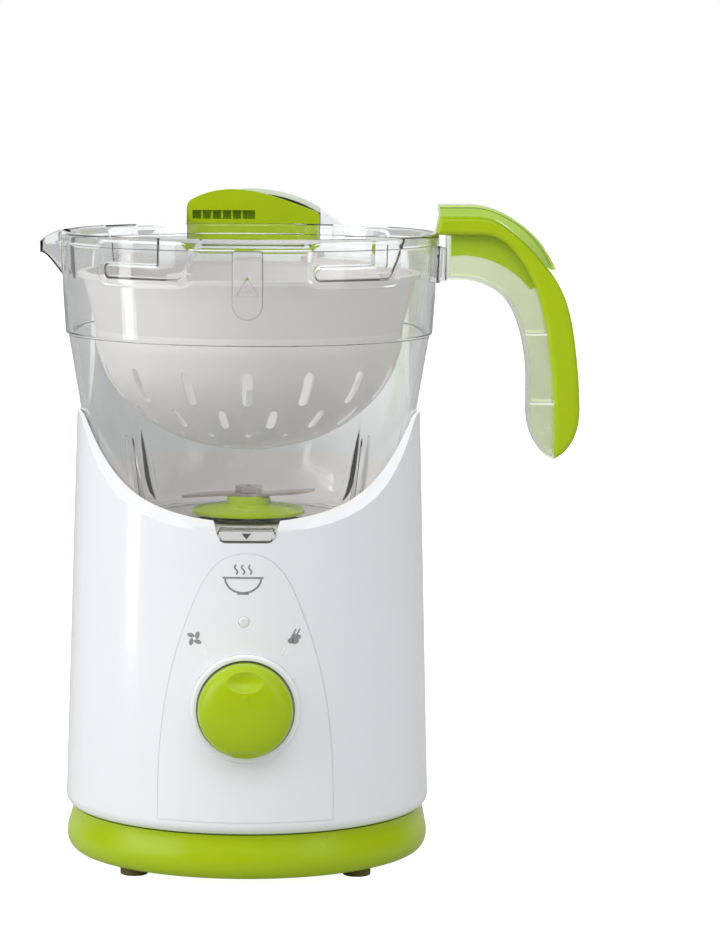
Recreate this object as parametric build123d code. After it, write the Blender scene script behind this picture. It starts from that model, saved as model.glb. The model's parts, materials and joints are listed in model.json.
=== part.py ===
from build123d import *
from math import atan2, cos, degrees, pi, radians, sin, sqrt
import os

# Baby food maker: a steam boiler and a blender motor in a white housing, with a lift-off clear jug.
# Millimetres. The origin is the jug and drive axis at the level of the feet; +Z is up, -Y is the front,
# -X is the side of the spout and +X the side of the handle.

# ---- driving dimensions ----
FOOT_HEIGHT = 3.5
TRAY_TOP = 24.2
HOUSING_BOTTOM = 24.5
HOUSING_RADIUS = 86.9        # front half of the plan, at the bottom
HOUSING_TAPER = 0.0281       # radius lost per millimetre of height
SIDE_RUN = 55.0              # straight sides behind the jug axis
REAR_DEPTH = 78.0            # half ellipse behind the straight sides, at the bottom
SHOULDER_TOP = 292.0
HOUSING_TOP = 315.2
WALL = 2.4
SEAM_Y = 52.0                # front and rear shells meet here

JUG_FLOOR = 157.0            # underside of the jug floor
JUG_TOP = 298.3
RIM_RADIUS = 90.0
RIM_HEIGHT = 5.3
JUG_GAP = 0.6                # between the jug and its cradle
CRADLE_TOP = 185.0
CRADLE_WALL = 2.2

KNOB_Z = 83.6
KNOB_RADIUS = 21.8
BEZEL_RADIUS = 25.3
LAMP_Z = 123.6

BASKET_RIM = 279.0
BASKET_EQUATOR = 252.0
BASKET_RADIUS = 73.0
BASKET_DROP = 57.4

BLADE_DISC_RADIUS = 26.8
SHAFT_RADIUS = 4.0
MOTOR_RADIUS = 36.0
HANDLE_WIDTH = 22.0

nodes = {}


def keep(name, *solids):
    """File the solids of one named piece."""
    found = []
    for shape in solids:
        found.extend(shape.solids())
    nodes[name] = found


def disc(radius, bottom, top, x=0.0, y=0.0):
    """An upright cylinder between two heights."""
    return Pos(x, y, (bottom + top) / 2) * Cylinder(radius, top - bottom)


def ring(outer, inner, bottom, top, x=0.0, y=0.0):
    return disc(outer, bottom, top, x, y) - disc(inner, bottom - 1, top + 1, x, y)


def block(x0, x1, y0, y1, z0, z1):
    """A box given by its faces."""
    return Pos((x0 + x1) / 2, (y0 + y1) / 2, (z0 + z1) / 2) * Box(abs(x1 - x0), abs(y1 - y0), z1 - z0)


def forward_disc(radius, front, back, x=0.0, z=0.0):
    """A cylinder along Y between two depths."""
    return Pos(x, (front + back) / 2, z) * Rot(90, 0, 0) * Cylinder(radius, back - front)


def side_plate(outline, half_width):
    """An XZ outline drawn out to both sides of Y = 0."""
    face = Plane.XZ * make_face(outline)
    return extrude(face, half_width, both=True)


def revolved(outline):
    """An outline in radius and height, turned about Z."""
    return revolve(Plane.XZ * make_face(outline), Axis.Z)


def azimuth(angle):
    """Turn that carries the front (-Y) direction by an angle towards +X."""
    return Rot(0, 0, angle)


# ---- housing ----
def housing_radius(z):
    return HOUSING_RADIUS - HOUSING_TAPER * (z - HOUSING_BOTTOM)


def plan_face(radius, z):
    """Plan of the base unit: a half circle in front, straight sides, a half ellipse behind."""
    depth = REAR_DEPTH + radius - HOUSING_RADIUS
    front = ThreePointArc((-radius, 0), (0, -radius), (radius, 0))
    right = Line((radius, 0), (radius, SIDE_RUN))
    rear = EllipticalCenterArc((0, SIDE_RUN), radius, depth, start_angle=0, arc_size=180)
    left = Line((-radius, SIDE_RUN), (-radius, 0))
    return Pos(0, 0, z) * make_face([front, right, rear, left])


def tapered_body(inset, bottom, top, bottom_round=0.0, top_round=0.0):
    """The housing's tapered block, moved in by an inset."""
    low = plan_face(housing_radius(bottom) - inset, bottom)
    high = plan_face(housing_radius(top) - inset, top)
    body = loft([low, high], ruled=True)
    if bottom_round:
        body = fillet(body.faces().sort_by(Axis.Z)[0].edges(), bottom_round)
    if top_round:
        body = fillet(body.faces().sort_by(Axis.Z)[-1].edges(), top_round)
    return body


DOME_RADIUS = HOUSING_TOP - 248.5
DOME_CENTRE = Vector(0, 101, 248.5)


def dome(inset):
    """The hump over the lock block."""
    ball = scale(Sphere(DOME_RADIUS - inset), (1, 0.4, 1))
    lump = Pos(DOME_CENTRE.X, DOME_CENTRE.Y, DOME_CENTRE.Z) * ball
    return lump & block(-70, 70, 40, 130, 262, 330)


LIP = [(-84, 165.0), (-74, 167.7), (-60, 176.0), (-45, 189.5), (-30, 205.0), (-20, 212.6),
       (-4, 213.2), (12, 216.0), (25, 226.0), (34, 242.0), (42, 264.0), (49, 300.0), (50, 340.0)]


def scoop(drop):
    """Everything in front of and above the lip, lowered by a drop."""
    points = [(y + 0.3 * drop, z - drop) for y, z in LIP]
    lip = Spline(points, tangents=[(1, 0), (0, 1)])
    start = points[0]
    end = points[-1]
    closing = Polyline(end, (-130, end[1]), (-130, start[1]), start)
    face = Plane.YZ * make_face([lip, closing])
    return extrude(face, 120, both=True)


def jug_side(offset):
    """Outside of the jug, from the edge of its floor to its rim, moved out by an offset."""
    points = [(61.0, 157.0), (69.5, 162.4), (74.3, 174.0), (76.8, 189.0), (78.4, 204.0),
              (79.7, 214.0), (82.1, 228.0), (84.2, 241.0), (85.8, 250.0)]
    return [(r + offset, z - 0.35 * offset) for r, z in points]


def jug_space(offset):
    """The room that the jug needs to lift straight out, moved out by an offset."""
    gap = JUG_GAP + offset
    floor_z = JUG_FLOOR - 0.8 - offset
    side = [(61.0 + gap, floor_z)] + jug_side(gap)[1:]
    wall = Spline(side)
    top_radius = RIM_RADIUS + 0.8 + offset
    rest = Polyline(side[-1], (87.4 + gap, 251.5), (88.4 + gap, 268), (top_radius, 274),
                    (top_radius, 345), (0, 345), (0, floor_z), side[0])
    return revolved([wall, rest])


def outer_form(inset):
    """The base unit's outside, whole and uncut, moved in by an inset."""
    body = tapered_body(inset, HOUSING_BOTTOM, SHOULDER_TOP - inset,
                        bottom_round=max(5.0 - inset, 1.5), top_round=11.0 - inset)
    return body + dome(inset)


NOTCH_Z = 159.6
TAB_HALF_TOP = 13.4
TAB_HALF_BOTTOM = 11.2


def tab_prism(grow, y0, y1, top):
    """The rounded keystone at the front of the lip, along Y."""
    low = NOTCH_Z + 0.4 - grow
    half_low = TAB_HALF_BOTTOM + grow
    half_top = TAB_HALF_TOP + grow + 0.4 * (top - 165.3)
    face = Plane.XZ * Polygon((-half_low, low), (half_low, low), (half_top, top), (-half_top, top),
                              align=None)
    prism = extrude(face, (y1 - y0) / 2, both=True)
    prism = Pos(0, (y0 + y1) / 2, 0) * prism
    return fillet(prism.edges().filter_by(Axis.Y).group_by(Axis.Z)[0], 3.0)


ARCH_SIDE = [(40.6, 31.0), (40.4, 50.0), (39.4, 68.0), (36.2, 92.0), (31.6, 111.0), (24.6, 131.0),
             (17.4, 145.5), (0.0, 155.0)]


def arch_prism(shrink):
    """The bullet-shaped outline of the fascia, along Y through the front wall."""
    right = [(x - shrink if x else 0.0, z - (shrink if x < 1 else 0)) for x, z in ARCH_SIDE]
    side = Spline(right, tangents=[(0, 1), (-1, 0)])
    foot = Polyline((0, right[-1][1]), (0, 31.0), right[0])
    half = Plane.XZ * make_face([side, foot])
    half_solid = Pos(0, -60, 0) * extrude(half, 40, both=True)
    return half_solid + mirror(half_solid, Plane.YZ)


BOSSES = [(62.0, -42.0), (-62.0, -42.0), (58.0, 82.0), (-58.0, 82.0)]
LOCK_X0 = -32.2
LOCK_X1 = 33.9
LOCK_Y0 = 93.0
LOCK_Y1 = 100.0
LOCK_BOTTOM = 284.0
CAP_X = 56.0
CAP_Y = 90.0
CAP_RADIUS = 9.5
TUBE_RADIUS = 6.6
PIPE_X = -10.0
PIPE_Y = 100.0
BOSS_TOP = 50.0


def housing():
    """The white shell, then its front and rear halves."""
    boss = disc(12.5, 280, SHOULDER_TOP, CAP_X, CAP_Y) & tapered_body(0.3, HOUSING_BOTTOM, SHOULDER_TOP)
    outside = outer_form(0) + boss - disc(CAP_RADIUS + 0.8, SHOULDER_TOP, 320, CAP_X, CAP_Y) - scoop(0)
    hollow = (outer_form(WALL) - scoop(WALL)) & block(-100, 100, -100, 140, 20, 320)
    hollow = hollow + (tapered_body(WALL + 2.6, HOUSING_BOTTOM - 2, 34.0))
    hollow = hollow - (jug_space(WALL) & block(-100, 100, -100, 100, CRADLE_TOP, 330))
    shell = outside - hollow - jug_space(0)
    shell = shell - (jug_space(CRADLE_WALL) & block(-100, 100, -100, 100, 140, CRADLE_TOP))
    shell = shell - tab_prism(0.5, -95, -60, 176)
    shell = shell - (arch_prism(0) - tapered_body(1.0, HOUSING_BOTTOM, SHOULDER_TOP, 4.0))
    shell = shell - forward_disc(4.2, -90, -70, z=KNOB_Z)
    shell = shell - forward_disc(2.6, -90, -70, x=-0.9, z=LAMP_Z)
    shell = shell - block(LOCK_X0 - 0.3, LOCK_X1 + 0.3, 80, LOCK_Y1 + 0.3, LOCK_BOTTOM - 0.3, 330)
    shell = shell - disc(TUBE_RADIUS + 0.3, 270, 300, CAP_X, CAP_Y)
    shell = shell - forward_disc(7.2, 120, 140, z=42)
    for x, y in BOSSES:
        boss = disc(5.0, HOUSING_BOTTOM + 2, BOSS_TOP, x, y)
        out = degrees(atan2(y if y < 0 else y - SIDE_RUN, x))
        rib = Pos(x, y, 0) * Rot(0, 0, out) * block(0, 30, -1.2, 1.2, 34.0, BOSS_TOP)
        rib = rib & tapered_body(0.5, HOUSING_BOTTOM, SHOULDER_TOP)
        shell = shell + boss + rib - disc(1.6, 20, BOSS_TOP - 3, x, y)
    front = shell & block(-100, 100, -100, SEAM_Y, 0, 330)
    rear = shell & block(-100, 100, SEAM_Y + 0.05, 150, 0, 330)
    keep("front_housing", front)
    keep("rear_housing", rear)


DAMPERS = [(side * 41.0, y) for side in (-1, 1) for y in (-24.0, 24.0)]


def cradle():
    """The seat that the jug stands in: a dish with a hole for the drive and a drained rim."""
    dish = jug_space(CRADLE_WALL) & block(-100, 100, -100, 100, 140, CRADLE_TOP)
    dish = dish - jug_space(0) - scoop(0)
    floor_top = JUG_FLOOR - 0.8
    dish = dish - disc(27.0, 140, 170)
    dish = dish + ring(29.0, 27.0, floor_top - 16, floor_top - 0.5)
    dish = dish + ring(28.0, 18.0, floor_top - 16, floor_top - 14)
    dish = dish - tab_prism(0.5, -95, -60, 176)
    for x, y in DAMPERS:
        post = disc(5.0, UPPER_PLATE + 11, floor_top - 1, x, y)
        dish = dish + post - disc(1.5, UPPER_PLATE + 5, floor_top - 6, x, y)
    dish = dish - disc(3.2, 140, 170, PLUNGER_X, 0)
    keep("jug_cradle", dish)


def fascia():
    """A thin panel on the front wall that carries the knob and the lamp."""
    skin = tapered_body(-0.35, HOUSING_BOTTOM, 200.0, 5.0) - tapered_body(1.0, HOUSING_BOTTOM, 200.0, 4.0)
    panel = skin & arch_prism(0.12)
    panel = panel - forward_disc(4.2, -90, -70, z=KNOB_Z)
    panel = panel - forward_disc(2.6, -90, -70, x=-0.9, z=LAMP_Z)
    front = -housing_radius(KNOB_Z) - 0.35
    seat = forward_disc(BEZEL_RADIUS + 0.05, front - 3, front + 3.4, z=KNOB_Z)
    keep("front_fascia", panel - seat)
    bezel = forward_disc(BEZEL_RADIUS, front - 2.0, front + 3.0, z=KNOB_Z)
    bezel = fillet(bezel.edges().group_by(Axis.Y)[0], 1.6)
    bezel = bezel - forward_disc(KNOB_RADIUS + 0.9, front - 5, front + 1.0, z=KNOB_Z)
    bezel = bezel - forward_disc(4.2, front - 5, front + 5, z=KNOB_Z)
    bezel = bezel - tapered_body(0.97, HOUSING_BOTTOM, 200.0, 4.0)
    keep("knob_bezel", bezel)


# ---- base tray ----
TRAY_SECTIONS = [(81.2, FOOT_HEIGHT), (84.9, 5.6), (86.2, 9.0), (85.7, 15.0), (83.4, TRAY_TOP)]


def tray():
    """Green tray under the housing: vents below, bosses and screws that hold the housing down."""
    bowl = loft([plan_face(radius, z) for radius, z in TRAY_SECTIONS])
    room = loft([plan_face(radius - WALL, z) for radius, z in [(80.0, 6.0), (84.6, 10.0), (85.4, 15.0),
                                                              (83.4, TRAY_TOP + 0.3)]])
    bowl = bowl - room
    for x in range(-30, 31, 10):
        bowl = bowl - block(x - 2.0, x + 2.0, 20, 60, 0, 8)
    for x, y in BOSSES:
        bowl = bowl + disc(5.6, FOOT_HEIGHT + 1, HOUSING_BOTTOM + 1.9, x, y)
        bowl = bowl - disc(1.9, 0, 40, x, y) - disc(4.0, 0, FOOT_HEIGHT + 6.3, x, y)
    for x, y in FEET:
        bowl = bowl - disc(3.0, 0, FOOT_HEIGHT + 1.5, x, y)
    keep("base_tray", bowl)
    screws = []
    for x, y in BOSSES:
        screw = disc(3.4, FOOT_HEIGHT + 4.1, FOOT_HEIGHT + 6.2, x, y)
        screw = screw + disc(1.5, FOOT_HEIGHT + 6.0, 46, x, y)
        screw = screw - block(x - 2.4, x + 2.4, y - 0.4, y + 0.4, 0, FOOT_HEIGHT + 5.0)
        screws.append(screw)
    keep("tray_screws", *screws)


FEET = [(52.0, -54.5), (-52.0, -54.5), (50.0, 92.0), (-50.0, 92.0)]


def feet():
    pads = []
    for x, y in FEET:
        pad = disc(6.5, 0, FOOT_HEIGHT - 0.02, x, y)
        pad = fillet(pad.edges().group_by(Axis.Z)[0], 0.8)
        pads.append(pad + disc(2.95, FOOT_HEIGHT - 0.5, FOOT_HEIGHT + 1.4, x, y))
    keep("rubber_feet", *pads)


# ---- control parts ----
def spheroid(half_length, radius):
    """A body turned about X from half an ellipse."""
    arc = EllipticalCenterArc((0, 0), half_length, radius, start_angle=0, arc_size=180)
    return revolve(make_face([arc, Line((-half_length, 0), (half_length, 0))]), Axis.X)


def knob():
    """Domed knob with a scooped thumb rest at the top, a small flat below and a raised pointer dot."""
    base_y = -housing_radius(KNOB_Z) - 0.35
    back = base_y + 0.6
    face = base_y - 12.5
    outline_side = Spline((KNOB_RADIUS - 2.2, -face), (KNOB_RADIUS - 0.5, -face - 2.4),
                          (KNOB_RADIUS, -back), tangents=[(1, -0.45), (0, -1)])
    outline_face = Spline((0, -face + 2.4), (KNOB_RADIUS - 2.2, -face), tangents=[(1, 0), (1, -0.45)])
    rest = Polyline((KNOB_RADIUS, -back), (0, -back), (0, -face + 2.4))
    turned = revolve(Plane.XZ * make_face([outline_face, outline_side, rest]), Axis.Z)
    turned = Pos(0, 0, KNOB_Z) * Rot(90, 0, 0) * turned
    turned = turned - Pos(0, face - 7.0, KNOB_Z + 17.2) * spheroid(15.0, 8.6)
    turned = turned - Pos(0, face - 4.2, KNOB_Z - 21.6) * spheroid(14.0, 6.0)
    turned = turned + forward_disc(0.9, face - 2.9, face + 1.0, z=KNOB_Z + 8.6)
    turned = turned - forward_disc(18.6, back - 8, back + 1, z=KNOB_Z)
    turned = turned + forward_disc(6.0, back - 9, back - 0.2, z=KNOB_Z)
    turned = turned - forward_disc(3.0, back - 7, back + 5, z=KNOB_Z)
    keep("control_knob", turned)
    shaft = forward_disc(2.98, back - 6.9, back + 26, z=KNOB_Z)
    keep("knob_shaft", shaft)


def switches():
    """Rotary switch, jug-present microswitch with its plunger, lamp and lens."""
    front = -housing_radius(KNOB_Z) + WALL + 2.0
    body = block(-15, 15, front, front + 14, KNOB_Z - 15, KNOB_Z + 15)
    body = fillet(body.edges().filter_by(Axis.Y), 3.0)
    body = body - forward_disc(3.03, front - 1, front + 30, z=KNOB_Z)
    keep("rotary_switch", body)
    lens = forward_disc(2.5, -housing_radius(LAMP_Z) - 1.2, -housing_radius(LAMP_Z) + 4.0,
                        x=-0.9, z=LAMP_Z)
    lens = fillet(lens.edges().group_by(Axis.Y)[0], 1.2)
    keep("pilot_lens", lens)
    lamp_y = -housing_radius(LAMP_Z) + 4.1
    lamp = forward_disc(2.4, lamp_y, lamp_y + 8, x=-0.9, z=LAMP_Z)
    lamp = lamp + forward_disc(3.0, lamp_y + 7, lamp_y + 8.2, x=-0.9, z=LAMP_Z)
    keep("pilot_lamp", lamp)
    board = block(-32, 32, -66.0, -64.4, 34, 66)
    keep("control_board", board)
    parts = []
    for x, z, r in [(-20, 48, 5.0), (-6, 54, 4.0), (8, 46, 4.0)]:
        parts.append(forward_disc(r, -64.4, -64.4 + 10, x=x, z=z))
    parts.append(block(16, 28, -64.4, -54, 40, 58))
    keep("board_components", *parts)


PLUNGER_X = -44.0
PLUNGER_TRAVEL = 2.0


def interlock():
    """The plunger under the jug that closes a microswitch while the jug is in place."""
    floor_top = JUG_FLOOR - 0.8
    stem = disc(2.9, 137.4, JUG_FLOOR - 0.35, PLUNGER_X, 0)
    stem = fillet(stem.edges().group_by(Axis.Z)[-1], 1.0)
    stem = stem + disc(4.6, 144, 146, PLUNGER_X, 0)
    keep("jug_plunger", stem)
    body = block(PLUNGER_X - 9, PLUNGER_X + 9, -4, 4.95, 122, 134)
    body = body + block(PLUNGER_X - 2, PLUNGER_X + 2, -2, 2, 134, 135.6)
    keep("jug_microswitch", body)
    bracket = block(PLUNGER_X - 12, PLUNGER_X + 12, 5.0, 7.2, 118, floor_top - CRADLE_WALL - 0.1)
    keep("microswitch_bracket", bracket)


# ---- lock block on the tower ----
def lock_block():
    """Green block with a stepped top and a ribbed slot in its face; the lid's tongue locks into it."""
    top = Spline((LOCK_X0 + 1.5, 309.4), (-8.0, 314.8), (14.0, 310.4), (LOCK_X1 - 1.5, 303.9))
    sides = Polyline((LOCK_X1 - 1.5, 303.9), (LOCK_X1, 302.4), (LOCK_X1, LOCK_BOTTOM),
                     (LOCK_X0, LOCK_BOTTOM), (LOCK_X0, 307.8), (LOCK_X0 + 1.5, 309.4))
    face = Plane.XZ * make_face([top, sides])
    depth = (LOCK_Y1 - LOCK_Y0) / 2
    body = Pos(0, LOCK_Y0 + depth, 0) * extrude(face, depth, both=True)
    body = body - block(-29.7, 1.5, LOCK_Y0 - 1, LOCK_Y0 + 5, 300.1, 304.5)
    for x in range(-25, 0, 5):
        body = body + block(x - 0.5, x + 0.5, LOCK_Y0 + 1.5, LOCK_Y0 + 5.5, 300, 304.6)
    keep("lock_block", body)


def cap():
    """Filler cap of the boiler, with its neck tube and washer."""
    z0 = SHOULDER_TOP + 0.3
    top = disc(CAP_RADIUS, z0, z0 + 5.0, CAP_X, CAP_Y)
    top = fillet(top.edges().group_by(Axis.Z)[-1], 1.2)
    for k in range(8):
        grip = Pos(CAP_X, CAP_Y, 0) * azimuth(45 * k) * disc(1.5, z0 + 1, z0 + 6, 0, CAP_RADIUS + 0.6)
        top = top - grip
    plug = disc(TUBE_RADIUS - 2.3, z0 - 9, z0 + 1, CAP_X, CAP_Y)
    keep("filler_cap", top + plug)
    tube = ring(TUBE_RADIUS, TUBE_RADIUS - 2.0, 122.0, z0 - 0.2, CAP_X, CAP_Y)
    keep("filler_tube", tube)


# ---- motor and drive ----
STACK_BOTTOM = 62.0
STACK_TOP = 100.0
LOWER_PLATE = 50.0
UPPER_PLATE = 112.0
SHAFT_TOP = 148.5
BOLT_X = 31.0                # the two long bolts through the stack
COIL_Y = 27.0
EAR_X = 41.0                 # rubber-mounted ears of the upper bracket
EAR_Y = 24.0


def motor():
    """Universal motor: stack, coils, two brackets with bearings, bolts, dampers and brushes."""
    stack = ring(MOTOR_RADIUS, 21.0, STACK_BOTTOM, STACK_TOP)
    for side in (-1, 1):
        stack = stack - block(-15, 15, side * COIL_Y - 4, side * COIL_Y + 4, STACK_BOTTOM - 1, STACK_TOP + 1)
        stack = stack - disc(1.6, 40, 130, side * BOLT_X)
    keep("motor_stator", stack)
    coils = []
    for side in (-1, 1):
        coil = block(-14.8, 14.8, side * COIL_Y - 3.8, side * COIL_Y + 3.8, STACK_BOTTOM - 5, STACK_TOP + 5)
        coils.append(fillet(coil.edges().filter_by(Axis.X), 2.0))
    keep("field_coils", *coils)
    lower = disc(MOTOR_RADIUS, LOWER_PLATE, LOWER_PLATE + 4) - disc(11.0, LOWER_PLATE - 1, LOWER_PLATE + 5)
    lower = lower + ring(14.0, 11.0, LOWER_PLATE - 2, LOWER_PLATE + 4)
    upper = disc(MOTOR_RADIUS, UPPER_PLATE, UPPER_PLATE + 4) - disc(11.0, UPPER_PLATE - 1, UPPER_PLATE + 5)
    upper = upper + ring(14.0, 11.0, UPPER_PLATE - 4, UPPER_PLATE + 4)
    for side in (-1, 1):
        post = disc(3.0, LOWER_PLATE + 4, STACK_BOTTOM, side * BOLT_X)
        lower = lower + post - disc(1.6, 40, 70, side * BOLT_X)
        upper = upper + disc(3.0, STACK_TOP, UPPER_PLATE, side * BOLT_X) - disc(1.6, 90, 130, side * BOLT_X)
        for y in (-EAR_Y, EAR_Y):
            ear = block(side * 22, side * 46, y - 6, y + 6, UPPER_PLATE, UPPER_PLATE + 4)
            upper = upper + ear - disc(2.6, 100, 130, side * EAR_X, y)
    keep("lower_motor_bracket", lower)
    keep("upper_motor_bracket", upper)
    bolts = []
    for side in (-1, 1):
        bolt = disc(1.5, LOWER_PLATE - 1, UPPER_PLATE + 6, side * BOLT_X)
        bolts.append(bolt + disc(2.8, UPPER_PLATE + 4, UPPER_PLATE + 6.4, side * BOLT_X))
    keep("motor_bolts", *bolts)
    keep("lower_bearing", ring(10.98, SHAFT_RADIUS + 0.03, LOWER_PLATE - 2, LOWER_PLATE + 4))
    keep("upper_bearing", ring(10.98, SHAFT_RADIUS + 0.03, UPPER_PLATE - 4, UPPER_PLATE + 4))
    dampers = []
    for side in (-1, 1):
        for y in (-EAR_Y, EAR_Y):
            damper = ring(5.0, 1.6, UPPER_PLATE + 4, UPPER_PLATE + 11, side * EAR_X, y)
            dampers.append(damper + ring(2.5, 1.6, UPPER_PLATE, UPPER_PLATE + 4, side * EAR_X, y))
    keep("motor_dampers", *dampers)
    brushes = []
    for side in (-1, 1):
        brush = block(-3.0, 3.0, side * 16 - 4.5, side * 16 + 4.5, LOWER_PLATE + 5.6, LOWER_PLATE + 10.4)
        brushes.append(brush)
    keep("carbon_brushes", *brushes)
    holders = []
    for side in (-1, 1):
        tube = block(-4.1, 4.1, side * 17.4 - 5.4, side * 17.4 + 5.4, LOWER_PLATE + 4, LOWER_PLATE + 11.5)
        tube = tube - block(-3.05, 3.05, side * 17 - 9, side * 17 + 9, LOWER_PLATE + 5.5, LOWER_PLATE + 10.5)
        holders.append(tube)
    keep("brush_holders", *holders)


def rotor():
    """Everything on the motor shaft, from the cooling fan up to the drive coupling."""
    core = ring(20.4, SHAFT_RADIUS, STACK_BOTTOM + 1, STACK_TOP - 1)
    for k in range(12):
        core = core - azimuth(30 * k) * block(18.0, 21.0, -1.2, 1.2, STACK_BOTTOM, STACK_TOP)
    keep("rotor_core", core)
    shaft = disc(SHAFT_RADIUS, 38, SHAFT_TOP)
    shaft = chamfer(shaft.edges().group_by(Axis.Z)[-1], 0.6)
    keep("motor_shaft", shaft)
    windings = ring(18.2, SHAFT_RADIUS, STACK_TOP - 1, STACK_TOP + 6)
    windings = fillet(windings.edges().group_by(Axis.Z)[-1], 1.5)
    keep("rotor_windings", windings)
    commutator = ring(11.2, SHAFT_RADIUS, LOWER_PLATE + 4.4, STACK_BOTTOM + 1)
    keep("commutator", commutator)
    fan = ring(9.0, SHAFT_RADIUS, 38.5, 46)
    fan = fan + ring(29.0, SHAFT_RADIUS, 38.5, 40)
    for k in range(9):
        fan = fan + azimuth(40 * k) * block(8.0, 28.5, -0.8, 0.8, 39.5, 46)
    keep("cooling_fan", fan)
    hub = ring(9.0, SHAFT_RADIUS, 132, 147)
    hub = hub + ring(13.0, SHAFT_RADIUS, 132, 135)
    for k in range(6):
        hub = hub + azimuth(60 * k) * block(8.0, 13.0, -1.9, 1.9, 134, 146)
    keep("drive_coupling", hub)


# ---- steam side ----
BOILER_X0 = -26.0
BOILER_X1 = 68.0
BOILER_Y0 = 46.0
BOILER_Y1 = 104.0


def boiler():
    """Pressed tank on a heating plate, with its pipes."""
    def body(inset, z0, z1):
        solid = block(BOILER_X0 + inset, BOILER_X1 - inset, BOILER_Y0 + inset, BOILER_Y1 - inset, z0, z1)
        return fillet(solid.edges().filter_by(Axis.Z), 18.0 - inset)
    tank = body(0, 58, 122)
    tank = fillet(tank.edges().group_by(Axis.Z)[-1], 3.0)
    room = body(1.5, 57, 120.5)
    tank = tank - fillet(room.edges().group_by(Axis.Z)[-1], 1.5)
    tank = tank - disc(4.6, 110, 130, CAP_X, CAP_Y) - disc(2.6, 110, 130, PIPE_X, PIPE_Y - 4)
    keep("boiler_tank", tank)
    plate = body(-3, 52.0, 56.6)
    keep("heating_plate", plate)
    gasket = body(-1.5, 56.6, 58) - body(3.0, 56, 59)
    keep("boiler_gasket", gasket)
    mid_x = (BOILER_X0 + BOILER_X1) / 2
    mid_y = (BOILER_Y0 + BOILER_Y1) / 2
    keep("heating_element", ring(22.0, 17.0, 46.0, 52.0, mid_x, mid_y))
    thermostat = disc(7.5, 44.0, 52.0, mid_x, mid_y)
    keep("boiler_thermostat", thermostat + block(mid_x - 8, mid_x + 8, mid_y - 2, mid_y + 2, 41, 44.5))
    keep("thermal_fuse", Pos(BOILER_X0 + 12, mid_y, 49.6) * Rot(90, 0, 0) * Cylinder(2.4, 16))
    keep("steam_pipe", steam_pipe())


def steam_pipe():
    """From the top of the tank back and up to the lock block."""
    low = Vector(PIPE_X, PIPE_Y - 4, 122.0)
    points = [low, low + (0, 0, 20), low + (0, 4, 34), (PIPE_X, PIPE_Y, LOCK_BOTTOM - 0.4)]
    line = FilletPolyline(*points, radius=12.0)
    outer = sweep(Plane(low, z_dir=(0, 0, 1)) * Circle(4.0), path=line)
    inner = sweep(Plane(low, z_dir=(0, 0, 1)) * Circle(2.6), path=line)
    return outer - inner


GLAND_Z = 42.0


def electrics():
    """Cord gland through the rear wall, and the block that its wires end in."""
    gland = forward_disc(7.0, 126.0, 136.0, z=GLAND_Z)
    gland = gland + forward_disc(9.5, 127.0, 129.0, z=GLAND_Z)
    gland = gland - forward_disc(3.4, 110, 140, z=GLAND_Z)
    keep("cord_gland", gland)
    base = block(-64, -44, 60, 74, 34, 48)
    for y in (64, 70):
        base = base - disc(2.0, 44, 50, -59, y) - disc(2.0, 44, 50, -49, y)
    keep("terminal_block", base)


# ---- jug ----
STEP_Z = 250.0
CHANNEL_LOW = 279.0
CHANNEL_HIGH = 286.0


def sector(inner, outer, z0, z1, start, span):
    """Part of a ring, from an azimuth through a span."""
    face = Plane.XZ * Pos((inner + outer) / 2, (z0 + z1) / 2) * Rectangle(outer - inner, z1 - z0)
    part = revolve(face, Axis.Z, revolution_arc=span)
    return Rot(0, 0, -90 + start) * part


def jug_shell():
    """The jug's outside as a solid, without spout, bosses, handle root or tab."""
    side = jug_side(0)
    rim_foot = JUG_TOP - RIM_HEIGHT
    rest = Polyline(side[-1], (86.6, 250.8), (88.3, 270), (89.2, rim_foot), (RIM_RADIUS, rim_foot + 0.8),
                    (RIM_RADIUS, JUG_TOP), (0, JUG_TOP), (0, JUG_FLOOR), side[0])
    return revolved([Spline(side), rest])


def jug_room():
    points = [(60.5, JUG_FLOOR + 3.0), (67.4, 165.3), (71.8, 176.0), (74.2, 190.0), (75.8, 204.0),
              (77.1, 214.0), (79.5, 228.0), (81.6, 241.0), (83.2, 250.0)]
    return revolved([Spline(points), Polyline(points[-1], (84.0, 250.8), (85.8, 270), (86.8, JUG_TOP + 1),
                                              (0, JUG_TOP + 1), (0, JUG_FLOOR + 3.0), points[0])])


def spout(inset):
    """The pouring lip towards -X: a V in plan with a rising underside."""
    tip = -99.4 + 1.6 * inset
    plan = Polygon((-82, 18 - inset), (tip, 1.2 - 0.7 * inset), (tip, -1.2 + 0.7 * inset),
                   (-82, -18 + inset), align=None)
    prism = Pos(0, 0, 270) * extrude(plan, 40)
    lift = 1.4 * inset
    profile = Plane.XZ * Polygon((-80, 276.5 + lift), (-88.5, 278.5 + lift), (-96.5, 287.6 + lift),
                                 (-100.2, 290.4 + lift), (-100.2, 292.6 + 8 * inset),
                                 (-92, 297.6 + 8 * inset),
                                 (-88, JUG_TOP + 8 * inset), (-80, JUG_TOP + 8 * inset), align=None)
    return prism & extrude(profile, 30, both=True)


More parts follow.
